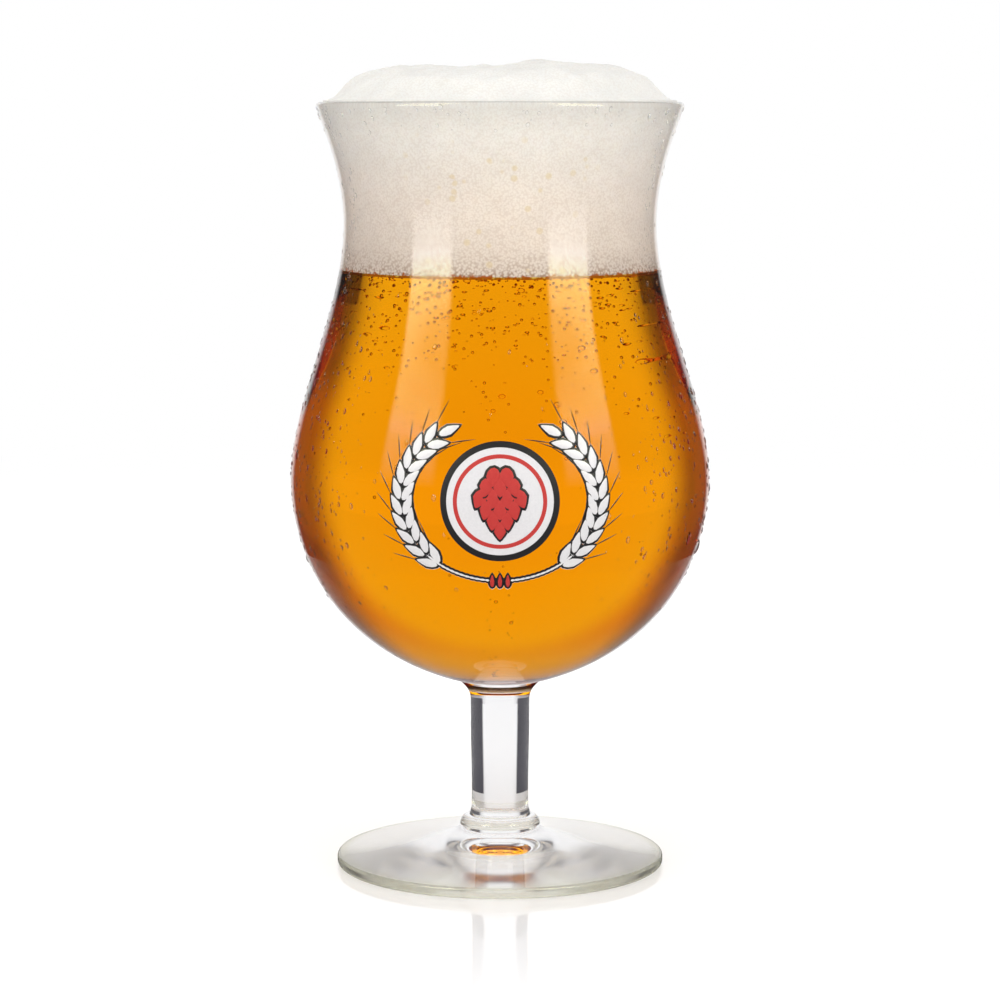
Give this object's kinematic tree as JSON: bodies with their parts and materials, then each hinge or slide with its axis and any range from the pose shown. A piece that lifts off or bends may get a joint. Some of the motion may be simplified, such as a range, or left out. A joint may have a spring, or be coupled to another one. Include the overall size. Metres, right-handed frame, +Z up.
{
  "type": "beer goblet",
  "caption": "Tulip-shaped glass goblet on a short solid stem and a round foot, filled with amber beer under a tall head of foam.",
  "frame": {"origin": "centre of the foot, on the surface that it stands on", "axes": "+Z up along the axis of the glass; the pictured front faces -Y, with +X to the viewer's right"},
  "size_m": [0.0854, 0.0854, 0.164],
  "materials": {
    "clear_glass": "polished",
    "amber_beer": "gloss",
    "beer_foam": "matte"
  },
  "bodies": {
    "root": {"bowl": "clear_glass", "stem": "clear_glass", "foot": "clear_glass", "beer": "amber_beer", "foam_head": "beer_foam"}
  },
  "joints": []
}
